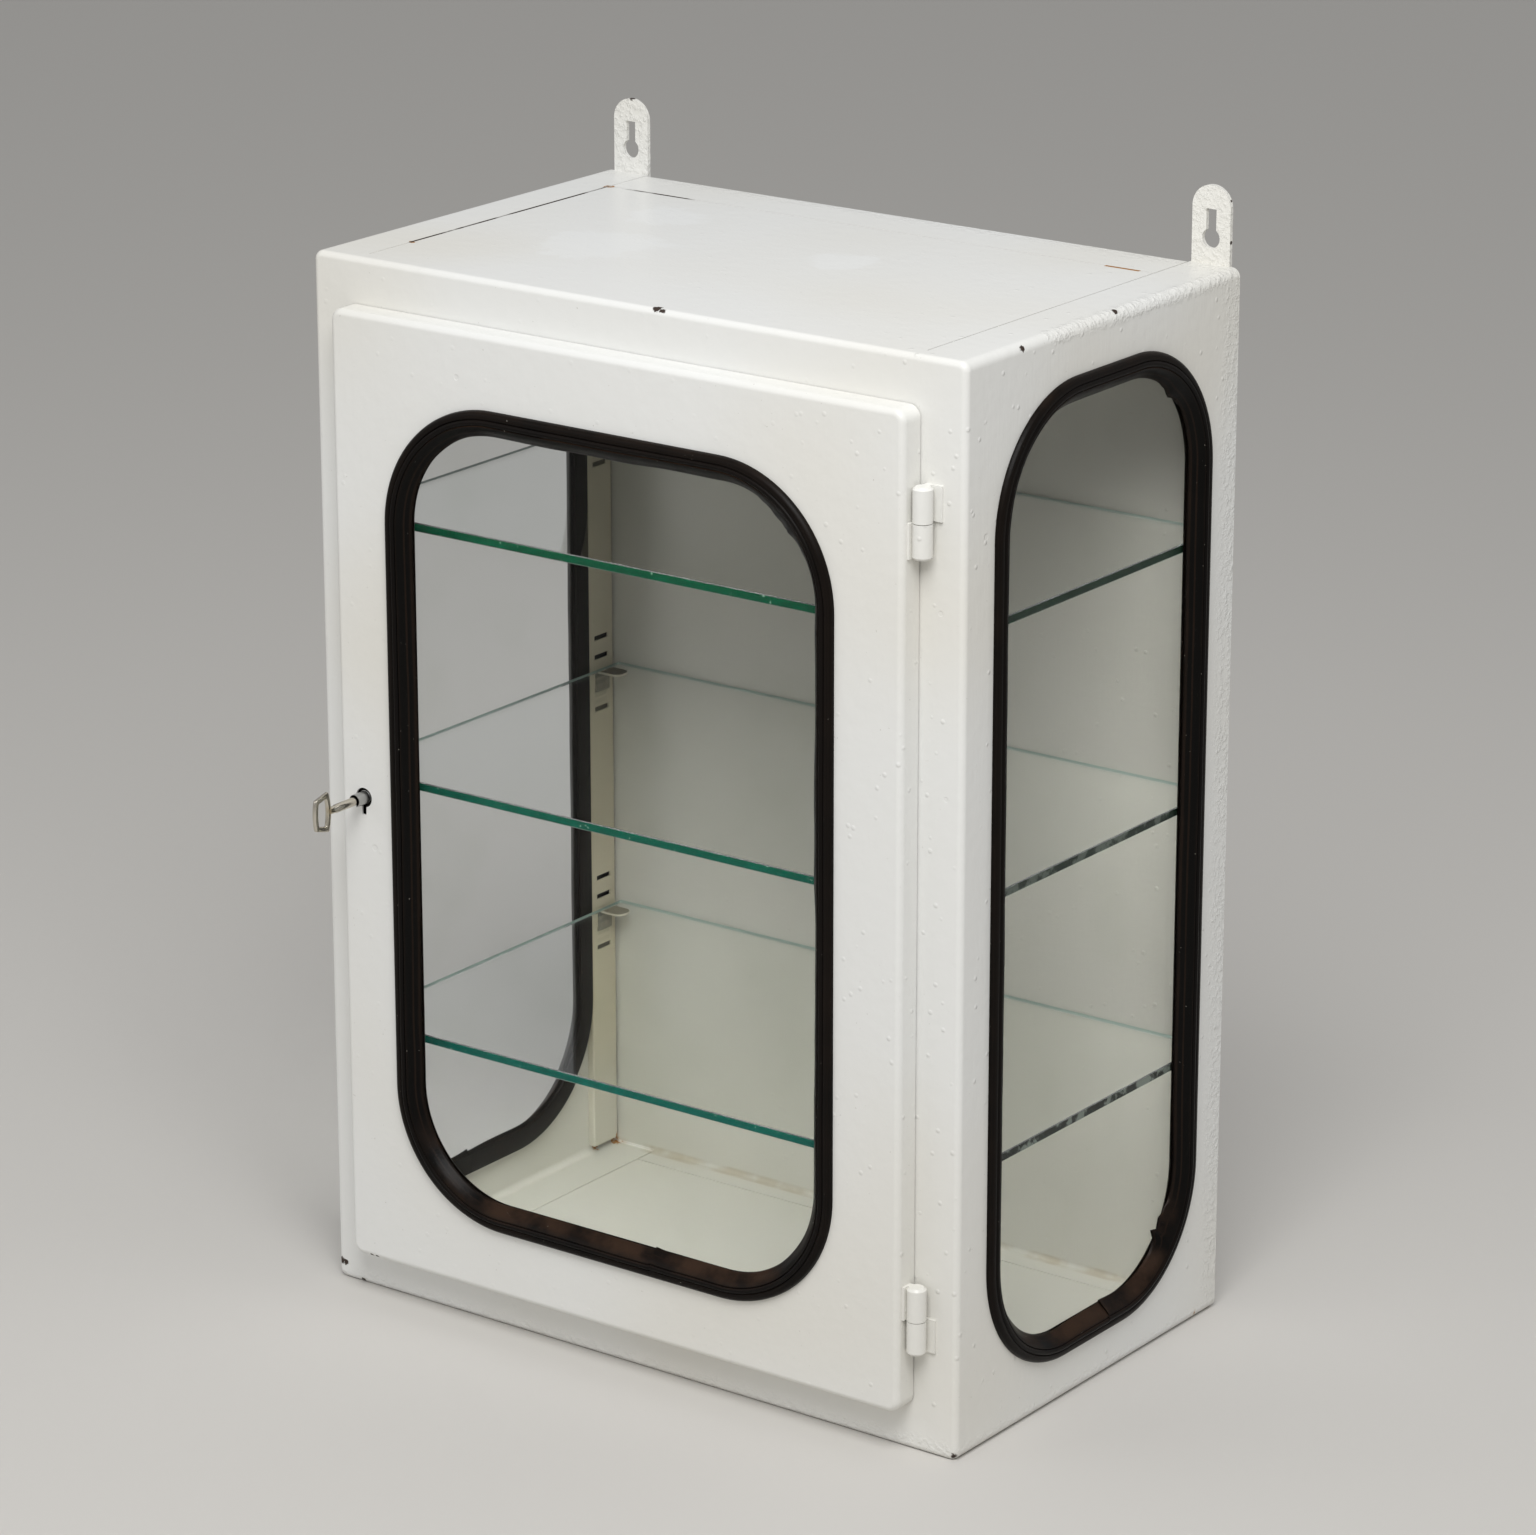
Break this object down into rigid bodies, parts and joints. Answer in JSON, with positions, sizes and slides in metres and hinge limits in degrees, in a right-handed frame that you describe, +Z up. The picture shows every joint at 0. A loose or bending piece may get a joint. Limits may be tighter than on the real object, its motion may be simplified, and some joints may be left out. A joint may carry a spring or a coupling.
{
  "type": "medicine cabinet",
  "caption": "White folded-steel wall cabinet with rubber-glazed windows in door and sides, glass shelves on slotted uprights, weld-on hinges, key lock and hanging lugs.",
  "frame": {"origin": "centre of the cabinet's underside, on the floor panel's lower face", "axes": "+Z up, the door faces -Y, +X to the right seen from the front"},
  "size_m": [0.5098, 0.3705, 0.75],
  "materials": {
    "white_enamel": "old brushed gloss enamel",
    "cream_enamel": "satin enamel",
    "window_glass": "clear polished",
    "shelf_glass": "clear with green ground edges",
    "black_rubber": "satin aged rubber",
    "rubber_strip": "satin aged rubber",
    "zinc_steel": "dull zinc plate",
    "lock_steel": "plain turned steel",
    "key_nickel": "worn nickel plate"
  },
  "bodies": {
    "cabinet": {"back_panel": "white_enamel", "floor_panel": "white_enamel", "front_frame": "white_enamel", "glass_shelf_lower": "shelf_glass", "glass_shelf_middle": "shelf_glass", "glass_shelf_upper": "shelf_glass", "left_hanging_lug": "white_enamel", "left_side_gasket": "black_rubber", "left_side_gasket_strip": "rubber_strip", "left_side_glass": "window_glass", "left_side_panel": "white_enamel", "lower_hinge_frame_knuckle": "white_enamel", "lower_hinge_pin": "lock_steel", "right_hanging_lug": "white_enamel", "right_side_gasket": "black_rubber", "right_side_gasket_strip": "rubber_strip", "right_side_glass": "window_glass", "right_side_panel": "white_enamel", "shelf_bracket_lower_left_front": "zinc_steel", "shelf_bracket_lower_left_rear": "zinc_steel", "shelf_bracket_lower_right_front": "zinc_steel", "shelf_bracket_lower_right_rear": "zinc_steel", "shelf_bracket_middle_left_front": "zinc_steel", "shelf_bracket_middle_left_rear": "zinc_steel", "shelf_bracket_middle_right_front": "zinc_steel", "shelf_bracket_middle_right_rear": "zinc_steel", "shelf_bracket_upper_left_front": "zinc_steel", "shelf_bracket_upper_left_rear": "zinc_steel", "shelf_bracket_upper_right_front": "zinc_steel", "shelf_bracket_upper_right_rear": "zinc_steel", "shelf_upright_left_front": "cream_enamel", "shelf_upright_left_rear": "cream_enamel", "shelf_upright_right_front": "cream_enamel", "shelf_upright_right_rear": "cream_enamel", "top_panel": "white_enamel", "upper_hinge_frame_knuckle": "white_enamel", "upper_hinge_pin": "lock_steel"},
    "door": {"door_panel": "white_enamel", "door_glass": "window_glass", "door_gasket": "black_rubber", "door_gasket_strip": "rubber_strip", "upper_hinge_door_knuckle": "white_enamel", "lower_hinge_door_knuckle": "white_enamel", "lock_case": "lock_steel", "lock_cover": "lock_steel", "lock_cover_screws": "lock_steel", "lock_post": "lock_steel", "lock_sleeve": "lock_steel", "lock_bolt_spring": "lock_steel"},
    "key": {"key": "key_nickel"},
    "bolt": {"lock_bolt": "lock_steel"}
  },
  "joints": [
    {"name": "door_hinge", "type": "hinge", "parent": "cabinet", "child": "door", "pos_m": [0.2249, -0.1578, 0.35], "axis": [0, 0, 1], "range_deg": [0, 150]},
    {"name": "key_turn", "type": "hinge", "parent": "door", "child": "key", "pos_m": [-0.203, -0.168, 0.35], "axis": [0, -1, 0], "range_deg": [0, 360]},
    {"name": "bolt_slide", "type": "slide", "parent": "door", "child": "bolt", "axis": [-1, 0, 0], "range_m": [0, 0.008]}
  ],
  "couplings": [
    {"joint": "bolt_slide", "follows": "key_turn", "m_per_rad": 0.0012732}
  ]
}
